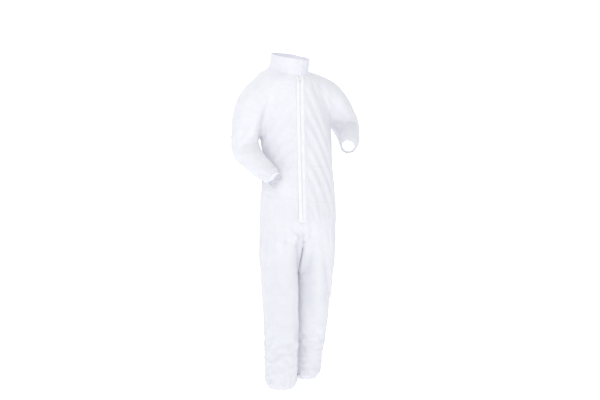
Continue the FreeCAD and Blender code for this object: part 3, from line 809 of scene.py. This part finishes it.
def creases(tree, where, scale, width, warp):
    """Sharp, straight-sided crumple lines, 1 on a line and 0 away from it."""
    shift = node(tree, "ShaderNodeTexNoise", Scale=scale * 0.8, Detail=1.0)
    tree.links.new(where, shift.inputs["Vector"])
    add = tree.nodes.new("ShaderNodeVectorMath")
    add.operation = "MULTIPLY_ADD"
    tree.links.new(shift.outputs["Color"], add.inputs[0])
    add.inputs[1].default_value = (warp, warp, warp)
    tree.links.new(where, add.inputs[2])
    cells = tree.nodes.new("ShaderNodeTexVoronoi")
    cells.feature = "DISTANCE_TO_EDGE"
    cells.inputs["Scale"].default_value = scale
    tree.links.new(add.outputs[0], cells.inputs["Vector"])
    return ranged(tree, cells.outputs["Distance"], 0.0, width, 1.0, 0.0)


def nonwoven():
    """White spunbonded fabric: point-bonded dots, stray fibres, soft crumpling and packaging creases, with painted
    shade darkening its colour toward the bottom and a painted glow on its inner layer.
    """
    material, tree, shader, where = new_material("nonwoven")
    tone = noise_node(tree, where, 7.0, 3.0)
    fine = noise_node(tree, where, 420.0, 3.0, 0.7)
    cloud = math_node(tree, "ADD", math_node(tree, "MULTIPLY", tone, 0.6), math_node(tree, "MULTIPLY", fine, 0.4))
    height = tree.nodes.new("ShaderNodeSeparateXYZ")
    tree.links.new(where, height.inputs[0])
    # painted shade: the base colour darkens toward the bottom of the suit, down the legs, mixed in with the random tone
    # below
    low = ranged(tree, height.outputs["Z"], -0.3, -1.4, 0.0, 0.22)
    tone_and_painted_shade = math_node(tree, "ADD", ranged(tree, cloud, 0.35, 0.65, 0.0, 0.45), low, clamp=True)
    tree.links.new(mixed(tree, tone_and_painted_shade, (0.790, 0.795, 0.830), (0.690, 0.700, 0.750)), shader.inputs["Base Color"])
    tree.links.new(ranged(tree, cloud, 0.3, 0.7, 0.56, 0.74), shader.inputs["Roughness"])
    shader.inputs["Specular IOR Level"].default_value = 0.32
    shader.inputs["Sheen Weight"].default_value = 0.18
    shader.inputs["Sheen Roughness"].default_value = 0.45
    dots = node(tree, "ShaderNodeTexVoronoi", Scale=620.0, Randomness=0.25)
    tree.links.new(where, dots.inputs["Vector"])
    bond = ranged(tree, dots.outputs["Distance"], 0.12, 0.38, 0.0, 1.0)
    sway = noise_node(tree, where, 9.0, 2.0)
    tilt = math_node(tree, "ADD", height.outputs["Z"], math_node(tree, "MULTIPLY", sway, 0.020))
    tilt = math_node(tree, "ADD", tilt, math_node(tree, "MULTIPLY", height.outputs["X"], 0.12))
    pack = None
    for level in (-0.560, -0.985, -1.128, -1.262):
        away = math_node(tree, "ABSOLUTE", math_node(tree, "ADD", tilt, -level - 0.010))
        line = ranged(tree, away, 0.0, 0.0030, 1.0, 0.0)
        pack = line if pack is None else math_node(tree, "MAXIMUM", pack, line)
    through = tree.nodes.new("ShaderNodeBsdfTranslucent")
    tree.links.new(shader.inputs["Base Color"].links[0].from_socket, through.inputs["Color"])
    # painted light: the fabric's inner layer glows faintly, lightening the insides seen through the cuffs, hems and
    # collar
    inner = tree.nodes.new("ShaderNodeAttribute")
    inner.attribute_name = "inside"
    shader.inputs["Emission Color"].default_value = (0.88, 0.88, 0.93, 1)
    tree.links.new(math_node(tree, "MULTIPLY", inner.outputs["Fac"], 0.42), shader.inputs["Emission Strength"])
    both = node(tree, "ShaderNodeMixShader", Fac=0.12)
    out = next(made for made in tree.nodes if made.type == "OUTPUT_MATERIAL")
    tree.links.new(shader.outputs[0], both.inputs[1])
    tree.links.new(through.outputs[0], both.inputs[2])
    tree.links.new(both.outputs[0], out.inputs[0])
    bumped(tree, shader, [
        (noise_node(tree, where, 34.0, 4.0, 0.55, 0.6), 0.0035, 0.30),
        (creases(tree, where, 17.0, 0.10, 0.05), 0.0016, 0.40),
        (creases(tree, where, 46.0, 0.12, 0.03), 0.0007, 0.35),
        (pack, 0.0016, 0.55),
        (fine, 0.0003, 0.35),
        (bond, 0.00016, 0.40),
    ])
    return material


def knitted(name, first, second):
    """Knitted elastic: rows of small loops along the band."""
    material, tree, shader, where = new_material(name)
    tone = noise_node(tree, where, 60.0, 3.0)
    tree.links.new(mixed(tree, tone, first, second), shader.inputs["Base Color"])
    tree.links.new(ranged(tree, tone, 0.3, 0.7, 0.70, 0.88), shader.inputs["Roughness"])
    shader.inputs["Sheen Weight"].default_value = 0.25
    loops = node(tree, "ShaderNodeTexVoronoi", Scale=900.0, Randomness=0.4)
    tree.links.new(where, loops.inputs["Vector"])
    bumped(tree, shader, [(noise_node(tree, where, 350.0, 3.0), 0.0006, 0.5), (loops.outputs["Distance"], 0.0005, 0.7)])
    return material


def woven_tape():
    material, tree, shader, where = new_material("zip_tape")
    tone = noise_node(tree, where, 40.0, 3.0)
    tree.links.new(mixed(tree, tone, (0.86, 0.865, 0.885), (0.77, 0.775, 0.81)), shader.inputs["Base Color"])
    tree.links.new(ranged(tree, tone, 0.3, 0.7, 0.62, 0.78), shader.inputs["Roughness"])
    shader.inputs["Sheen Weight"].default_value = 0.1
    weave = None
    for direction, scale in (("X", 260.0), ("Z", 300.0)):
        thread = node(tree, "ShaderNodeTexWave", Scale=scale, Distortion=0.6, Detail=1.0, _bands_direction=direction)
        tree.links.new(where, thread.inputs["Vector"])
        value = thread.outputs["Fac"]
        weave = value if weave is None else math_node(tree, "MULTIPLY", weave, value)
    bumped(tree, shader, [(noise_node(tree, where, 120.0, 3.0), 0.0006, 0.4), (weave, 0.00025, 0.6)])
    return material


def hard(name, first, second, rough, metallic, coat):
    """A hard part: nylon or enamelled metal, with slight mottling and fine scratches."""
    material, tree, shader, where = new_material(name)
    tone = noise_node(tree, where, 90.0, 4.0)
    tree.links.new(mixed(tree, tone, first, second), shader.inputs["Base Color"])
    tree.links.new(ranged(tree, tone, 0.3, 0.7, rough[0], rough[1]), shader.inputs["Roughness"])
    shader.inputs["Metallic"].default_value = metallic
    shader.inputs["Coat Weight"].default_value = coat
    bumped(tree, shader, [(noise_node(tree, where, 700.0, 4.0, 0.6), 0.0001, 0.35)])
    return material


def satin_label():
    material, tree, shader, where = new_material("label")
    tone = noise_node(tree, where, 50.0, 3.0)
    tree.links.new(mixed(tree, tone, (0.90, 0.90, 0.90), (0.83, 0.83, 0.84)), shader.inputs["Base Color"])
    tree.links.new(ranged(tree, tone, 0.3, 0.7, 0.32, 0.50), shader.inputs["Roughness"])
    shader.inputs["Anisotropic"].default_value = 0.4
    thread = node(tree, "ShaderNodeTexWave", Scale=420.0, Distortion=0.4, _bands_direction="Z")
    tree.links.new(where, thread.inputs["Vector"])
    bumped(tree, shader, [(thread.outputs["Fac"], 0.00012, 0.5), (tone, 0.0006, 0.3)])
    return material


# ---- building the pieces ------------------------------------------------------------------------
FABRIC = nonwoven()
ELASTIC = knitted("elastic", (0.84, 0.84, 0.86), (0.72, 0.72, 0.75))
TAPE = woven_tape()
NYLON = hard("zip_coil", (0.87, 0.875, 0.89), (0.80, 0.805, 0.83), (0.30, 0.42), 0.0, 0.0)
METAL = hard("zip_metal", (0.86, 0.865, 0.88), (0.78, 0.785, 0.81), (0.24, 0.36), 0.15, 0.5)
LABEL = satin_label()


def thick(mesh, name, thickness, material):
    """An object whose single layer has been given a thickness, inward from the mesh's outer face."""
    obj = link(name, mesh)
    solid = obj.modifiers.new("thick", "SOLIDIFY")
    solid.thickness = thickness
    solid.offset = -1.0
    solid.use_even_offset = False
    made = evaluated_copy(obj, name)
    bpy.data.objects.remove(obj)
    obj = link(name, made)
    made.materials.clear()
    made.materials.append(material)
    made.polygons.foreach_set("material_index", [0] * len(made.polygons))
    made.polygons.foreach_set("use_smooth", [True] * len(made.polygons))
    soften(made)
    # marks the inner layer, which the fabric material makes glow as painted light
    inside = made.attributes.new("inside", "FLOAT", "POINT")
    half = len(made.vertices) // 2
    inside.data.foreach_set("value", [0.0] * half + [1.0] * (len(made.vertices) - half))
    return obj


def soften(mesh):
    """Shades the two faces of a thickened layer smoothly, and a cut panel as part of the whole fabric."""
    half = len(mesh.vertices) // 2
    outer = np.zeros(len(mesh.vertices), bool)
    outer[:half] = True
    loop_vertex = whole_numbers_of(mesh.loops, "vertex_index")
    starts = whole_numbers_of(mesh.polygons, "loop_start")
    totals = whole_numbers_of(mesh.polygons, "loop_total")
    face_of = np.repeat(np.arange(len(starts)), totals)
    outer_loops = np.add.reduceat(outer[loop_vertex].astype(np.int64), starts)
    rim = (outer_loops > 0) & (outer_loops < totals)
    loop_edge = whole_numbers_of(mesh.loops, "edge_index")
    sharp = np.zeros(len(mesh.edges), bool)
    sharp[loop_edge[rim[face_of]]] = True
    attribute = mesh.attributes.get("sharp_edge") or mesh.attributes.new("sharp_edge", "BOOLEAN", "EDGE")
    attribute.data.foreach_set("value", sharp)
    stored = mesh.attributes.get("normal_of_whole")
    if stored is None:
        return
    whole = vectors_of(stored.data, "vector")
    face_normals = vectors_of(mesh.polygons, "normal")
    turned = np.where(outer_loops == totals, 1.0, -1.0)[face_of][:, None]
    loops = np.where(rim[face_of][:, None], face_normals[face_of], whole[loop_vertex] * turned)
    mesh.normals_split_custom_set([tuple(n) for n in loops])


def grid_mesh(name, rows, closed):
    """A mesh through rows of points. A closed one joins the end of each row to its start."""
    count = len(rows[0])
    verts = [tuple(p) for row in rows for p in row]
    faces = []
    for r in range(len(rows) - 1):
        for i in range(count if closed else count - 1):
            j = (i + 1) % count
            faces.append((r * count + i, r * count + j, (r + 1) * count + j, (r + 1) * count + i))
    mesh = bpy.data.meshes.new(name)
    mesh.from_pydata(verts, [], faces)
    mesh.update()
    mesh.shade_smooth()
    return mesh


def rim_radii(rest, hung, centre, across, along, normal, reach):
    """The radius of the fabric's cut edge round an opening, at each of 360 angles."""
    rel = rest - np.array(centre)
    flat = np.abs(rel @ np.array(normal)) < 0.0035
    near = flat & (np.linalg.norm(rel, axis=1) < reach)
    rel = hung[near] - np.array(centre)
    x, y = rel @ np.array(across), rel @ np.array(along)
    angle, radius = np.degrees(np.arctan2(x, y)) % 360, np.hypot(x, y)
    order = np.argsort(angle)
    angle, radius = angle[order], radius[order]
    return np.interp(np.arange(360), np.concatenate([angle - 360, angle, angle + 360]), np.tile(radius, 3))


def gathered_end(name, centre, across, along, outward, length, radii, end_radius, count, seed):
    """A folded, gathered hem: out from the seam, round its end and back inside."""
    sides = 220
    profile = []
    for k in range(15):
        v = k / 14
        profile.append((v * length * 0.97, 0.0, v))
    profile += [(length * 0.995, -0.0008, 1.0), (length, -0.0017, 1.0), (length * 0.995, -0.0026, 1.0)]
    for k in range(11):
        v = 1 - k / 10 * 0.9
        profile.append((v * length * 0.97, -0.0034, v))
    rows = []
    for out, inset, v in profile:
        row = []
        for i in range(sides):
            angle = 2 * math.pi * i / sides
            seam = radii[int(math.degrees(angle)) % 360] + 0.0004
            squeeze = end_radius + (seam - end_radius) * (1 - v) ** 0.8
            pinch = -0.0024 * math.exp(-((v - 0.62) / 0.22) ** 2)
            phase = count * angle + 1.7 * math.sin(3 * angle + seed) + 1.2 * math.sin(7 * angle + 2 * seed)
            ripple = 0.0017 * math.sin(phase) * min(v / 0.25, 1.0) * (0.6 + 0.6 * abs(v - 0.6))
            radius = squeeze + pinch + ripple + inset
            edge = 0.0012 * math.sin(phase * 0.5 + seed) * v
            direction = across * math.sin(angle) + along * math.cos(angle)
            row.append(centre + direction * radius + outward * (out + edge))
        rows.append(row)
    mesh = grid_mesh(name, rows, True)
    mesh.flip_normals()
    return mesh


def elastic_ring(name, centre, across, along, outward, radius, width, count):
    rows = []
    for k in range(7):
        v = k / 6
        row = []
        for i in range(160):
            angle = 2 * math.pi * i / 160
            r = radius + 0.0007 * math.sin(count * angle + 1.7 * math.sin(3 * angle))
            place = centre + (across * math.sin(angle) + along * math.cos(angle)) * r
            row.append(place + outward * (width * (v - 0.5)))
        rows.append(row)
    mesh = grid_mesh(name, rows, True)
    mesh.flip_normals()
    return mesh


def collar_mesh():
    """The stand collar: a folded strip round the neck, its ends meeting over the zip."""
    z, right, left, depth, yaw, tilt = TORSO[0]
    across, back = section_axes(yaw, tilt)
    up = across.cross(back)
    centre = zip_point(z) + back * depth
    profile = [(-0.0130, 0.0010, 0.0), (-0.0050, 0.0012, 0.0), (0.0010, 0.0004, 0.0)]
    profile += [(COLLAR_HEIGHT * k / 16, 0.0, k / 16) for k in range(1, 16)]
    profile += [(COLLAR_HEIGHT - 0.0012, 0.0, 1.0), (COLLAR_HEIGHT, -0.0012, 1.0),
                (COLLAR_HEIGHT - 0.0012, -0.0026, 1.0)]
    profile += [(COLLAR_HEIGHT * k / 16, -0.0032, k / 16) for k in range(15, 0, -1)]
    profile.append((-0.0120, -0.0026, 0.0))
    count = 260
    rows = []
    for height, inset, v in profile:
        flare = -0.0030 * min(v * 2, 1) - 0.0010 * max(v * 2 - 1, 0)
        row = []
        for i in range(count + 1):
            u = i / count
            gap = 0.006 + 0.045 * (1 - v) ** 4
            angle = gap + (2 * math.pi - 2 * gap) * u
            a = left if math.sin(angle) >= 0 else right
            roll = 0.0024 * noise.noise(Vector((6.0 * math.sin(angle), 6.0 * math.cos(angle), 2.5 * v)))
            fine = 0.0011 * noise.noise(Vector((17 * math.sin(angle), 17 * math.cos(angle), 6.0 * v + 9)))
            sag = 0.0035 * (1 + math.sin(angle - 0.6)) * v + 0.002 * noise.noise(Vector((angle * 2.2, 5.1, 0.4))) * v
            out = flare + inset + (roll + fine) * (0.2 + 0.8 * v)
            place = centre + across * (a + out) * math.sin(angle) - back * (depth + out) * math.cos(angle)
            row.append(place + up * (height - sag))
        rows.append(row)
    return grid_mesh("collar", rows, False)


def strip(name, top, bottom, side0, side1, out, steps, waviness, seed):
    """A flat strip along the zip."""
    rows = []
    for k in range(steps + 1):
        down = top + (bottom - top) * k / steps
        row = []
        for j in range(7):
            s = side0 + (side1 - side0) * j / 6
            ripple = waviness * noise.noise(Vector((down * 30, s * 60, seed)))
            row.append(ZIP_TOP + DOWN * down + SIDE * s + OUT * (out + ripple))
        rows.append(row)
    return grid_mesh(name, rows, False)


def coil_mesh(sign):
    """One side of the zip's nylon coil: a flattened helix whose turns mesh with the other side's."""
    pitch = ZIP_TRAVEL / COIL_TURNS
    turns = int((ZIP_LENGTH - 0.009) / pitch)
    steps, ring_sides, wire = 10, 6, 0.00045
    start = 0.0035 + (pitch / 2 if sign > 0 else 0)
    path = []
    for k in range(turns * steps):
        angle = 2 * math.pi * k / steps
        s = sign * (0.00165 - 0.00135 * math.cos(angle))
        path.append(ZIP_TOP + DOWN * (start + pitch * k / steps) + SIDE * s + OUT * 0.00075 * math.sin(angle))
    rows = []
    for k, p in enumerate(path):
        tangent = (path[min(k + 1, len(path) - 1)] - path[max(k - 1, 0)]).normalized()
        first = tangent.cross(DOWN).normalized()
        second = tangent.cross(first).normalized()
        rows.append([p + (first * math.cos(a) + second * math.sin(a)) * wire
                     for a in (2 * math.pi * j / ring_sides for j in range(ring_sides))])
    return grid_mesh("coil", rows, True)


def plain(mesh, name, material):
    obj = link(name, mesh)
    mesh.materials.clear()
    mesh.materials.append(material)
    return obj


def fabric_piece(name, mesh, body, blend, nodes):
    """A fabric panel or hem: thickened, and attached to its body, or with its transform baked into the mesh when it has
    a blend; the CAD parts it replaces are hidden.
    """
    obj = thick(mesh, "fabric_" + name, FABRIC_THICK, FABRIC)
    if blend:
        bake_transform(obj)
    else:
        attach(obj, body)
    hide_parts(*nodes)
    return obj


def rider(obj, body, replaced):
    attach(obj, body)
    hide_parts(replaced)


def limb_blends(side):
    """The two bodies that each limb panel bends between, and where the bend starts and ends."""
    hinge, toward = SHOULDER[side]
    start, end = ARM_BLEND[side]
    arm = ("torso", "upper_arm_" + side, hinge + toward * start, hinge + toward * end)
    elbow, bend = ELBOW[side]
    fore = ("upper_arm_" + side, "forearm_" + side, elbow - bend * ELBOW_REACH, elbow + bend * ELBOW_REACH)
    x, y = LEGS[side][4][:2]
    thigh = ("torso", "thigh_" + side, Vector((x, y, THIGH_TOP)), Vector((x, y, THIGH_TOP - 0.080)))
    shin = ("thigh_" + side, "shin_" + side, Vector((x, y, KNEE_Z + 0.055)), Vector((x, y, KNEE_Z - 0.055)))
    return {"upper_sleeve_" + side: arm, "lower_sleeve_" + side: fore, "thigh_front_" + side: thigh,
            "thigh_back_" + side: thigh, "shin_front_" + side: shin, "shin_back_" + side: shin}


def build_suit():
    worn = joined_surface(0.0, VOXEL)
    set_array(worn, closed_up(array_of(worn)))
    open_ends(worn)
    settled = drape(worn, form_surface())
    fine_worn, fine_settled = finer(worn, "worn"), finer(settled, "settled")
    rest = array_of(fine_worn)
    hung = worked(array_of(fine_settled), rest, vectors_of(fine_settled.vertices, "normal"))
    panels = cut_panels(fine_worn, hung)
    for side in SIDES:
        blends = limb_blends(side)
        for name, blend in blends.items():
            fabric_piece(name, panels[name], None, blend, [name])
    for name in ("front_right", "front_left", "back_upper", "hip_front_right", "hip_front_left", "seat"):
        fabric_piece(name, panels[name], "torso", None, [name])
    return rest, hung


def build_ends(rest, hung):
    """Cuffs and ankle hems, with the elastic inside them."""
    for side in SIDES:
        seam, toward = cuff_plane(side)
        across = toward.orthogonal().normalized()
        along = toward.cross(across)
        radii = rim_radii(rest, hung, seam, across, along, toward, 0.060)
        mesh = gathered_end("cuff", seam - toward * 0.0012, across, along, toward, 0.0230, radii, 0.0352, 17, 1.3)
        fabric_piece("cuff_" + side, mesh, "forearm_" + side, None, ["cuff_" + side])
        band = elastic_ring("band", seam + toward * 0.0138, across, along, toward, 0.0305, 0.0100, 34)
        rider(thick(band, "elastic_wrist_" + side, ELASTIC_THICK, ELASTIC), "forearm_" + side,
              "wrist_elastic_" + side)
        x, y, _, a, _ = LEGS[side][-1]
        seam = Vector((LEGS[side][-2][0] * 0.2 + x * 0.8, LEGS[side][-2][1] * 0.2 + y * 0.8, HEM_TOP))
        down = Vector((0, 0, -1))
        across, along = Vector((1, 0, 0)), Vector((0, -1, 0))
        radii = rim_radii(rest, hung, seam, across, along, down, 0.11)
        mesh = gathered_end("hem", seam - down * 0.0012, across, along, down, 0.0232, radii, a - 0.002, 24, 2.1)
        fabric_piece("ankle_hem_" + side, mesh, "shin_" + side, None,
                     ["ankle_hem_" + side])
        band = elastic_ring("band", seam + down * 0.0140, across, along, down, a - 0.0068, 0.0100, 48)
        rider(thick(band, "elastic_ankle_" + side, ELASTIC_THICK, ELASTIC), "shin_" + side,
              "ankle_elastic_" + side)


def build_collar():
    z, _, _, depth, yaw, tilt = TORSO[0]
    across, back = section_axes(yaw, tilt)
    fabric_piece("collar", collar_mesh(), "torso", None, ["collar_outer", "collar_inner"])
    nape = zip_point(z) + back * (2 * depth - 0.0105)
    rows = []
    for k in range(23):
        v = k / 22
        row = []
        for j in range(17):
            u = j / 16 - 0.5
            curl = 0.0030 * v * v + 0.0040 * (2 * u) ** 2 * 0.4 - 0.0012 * math.sin(v * 5.0)
            row.append(nape + across * (0.045 * u) - Vector((0, 0, 0.055 * v)) - back * curl)
        rows.append(row)
    rider(thick(grid_mesh("label", rows, False), "neck_label_blank", 0.0003, LABEL), "torso",
          "neck_label")


def build_waist_band():
    """Knitted elastic inside the back of the waist, drawn up by its own pull."""
    z, right, left, depth, yaw, tilt = next(row for row in TORSO if row[0] == WAIST_Z)
    across, back = section_axes(yaw, tilt)
    centre = zip_point(z) + back * depth
    rows = []
    for k in range(7):
        row = []
        for i in range(201):
            angle = math.pi / 2 + math.pi * i / 200
            a = left if math.sin(angle) >= 0 else right
            inset = 0.0155 - 0.0008 * math.sin(68 * angle + 1.4 * math.sin(6 * angle))
            place = centre + across * (a - inset) * math.sin(angle) - back * (depth - inset) * math.cos(angle)
            row.append(place + Vector((0, 0, 0.0100 * (0.5 - k / 6))))
        rows.append(row)
    rider(thick(grid_mesh("waist", rows, False), "elastic_waist", 0.0010, ELASTIC), "torso",
          "waist_elastic")


def build_zip():
    for side, sign in (("right", -1), ("left", 1)):
        edges = sorted((sign * 0.0003, sign * 0.0172))
        mesh = strip("tape", 0.0, ZIP_LENGTH + 0.006, edges[0], edges[1], -0.0006, 260, 0.0004, sign * 3.7)
        rider(thick(mesh, "zip_tape_cloth_" + side, 0.0006, TAPE), "torso",
              "zip_tape_" + side)
        coil = plain(coil_mesh(sign), "zip_coil_turns_" + side, NYLON)
        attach(coil, "torso")
        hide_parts("zip_coil_" + side)
    for name, material, slot in (("slider", METAL, "zip_metal"), ("pull_tab", METAL, "zip_metal"),
                                 ("zip_top_stops", NYLON, "zip_coil"), ("zip_bottom_stop", NYLON, "zip_coil")):
        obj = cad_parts[name]
        obj.data.materials.clear()
        obj.data.materials.append(material)
        obj.data.polygons.foreach_set("material_index", [0] * len(obj.data.polygons))
        edge = obj.modifiers.new("edge", "BEVEL")
        edge.width = 0.0004
        edge.segments = 3
        edge.limit_method = "ANGLE"
        edge.angle_limit = math.radians(40)
        obj.data.shade_smooth()


# ---- floor, light and camera --------------------------------------------------------------------
def area_light(name, place, target, size, power):
    light = bpy.data.lights.new(name, "AREA")
    light.shape = "RECTANGLE"
    light.size, light.size_y = size
    light.energy = power
    obj = bpy.data.objects.new(name, light)
    obj.location = place
    obj.rotation_euler = (Vector(target) - Vector(place)).to_track_quat("-Z", "Y").to_euler()
    bpy.context.scene.collection.objects.link(obj)
    return obj


def build_studio():
    sweep = [(-12.0, -1.500), (9.0, -1.500)]
    sweep += [(9.0 + 3 * math.sin(a), 1.500 - 3 * math.cos(a)) for a in (math.pi / 24 * k for k in range(1, 13))]
    sweep.append((12.0, 12.0))
    floor_mesh = grid_mesh("floor", [[Vector((x, y, z)) for x in (-24, 24)] for y, z in sweep], False)
    material, tree, shader, where = new_material("floor")
    tone = noise_node(tree, where, 0.8, 3.0)
    tree.links.new(mixed(tree, tone, (0.93, 0.93, 0.935), (0.90, 0.90, 0.905)), shader.inputs["Base Color"])
    tree.links.new(ranged(tree, tone, 0.3, 0.7, 0.75, 0.85), shader.inputs["Roughness"])
    shader.inputs["Emission Color"].default_value = (1.0, 1.0, 1.0, 1)
    shader.inputs["Emission Strength"].default_value = 0.45
    floor_mesh.materials.append(material)
    floor = link("floor", floor_mesh)
    lights = [
        area_light("key", (-1.9, -2.6, 1.0), (0.02, 0, -0.55), (1.4, 2.0), 40.0),
        area_light("fill", (2.6, -1.9, 0.1), (0.02, 0, -0.8), (1.8, 2.6), 11.0),
        area_light("top", (-0.2, 0.6, 2.0), (0.0, 0, -0.4), (1.8, 1.8), 14.0),
    ]
    world = bpy.data.worlds.new("studio")
    world.use_nodes = True
    background = world.node_tree.nodes["Background"]
    background.inputs[0].default_value = (1.0, 1.0, 1.0, 1)
    background.inputs[1].default_value = 0.65
    bpy.context.scene.world = world
    bpy.context.scene.view_settings.view_transform = "Standard"


def build_camera():
    data = bpy.data.cameras.new("camera")
    data.sensor_width = 36.0
    data.lens = 43.2
    data.shift_x = 0.0208
    data.shift_y = 0.0095
    camera = bpy.data.objects.new("camera", data)
    camera.location = (-1.1116, -3.0540, -0.20)
    camera.rotation_euler = (math.radians(83), 0, math.radians(-20))
    bpy.context.scene.collection.objects.link(camera)
    bpy.context.scene.camera = camera


rest_points, hung_points = build_suit()
build_ends(rest_points, hung_points)
build_collar()
build_waist_band()
build_zip()
build_studio()
build_camera()
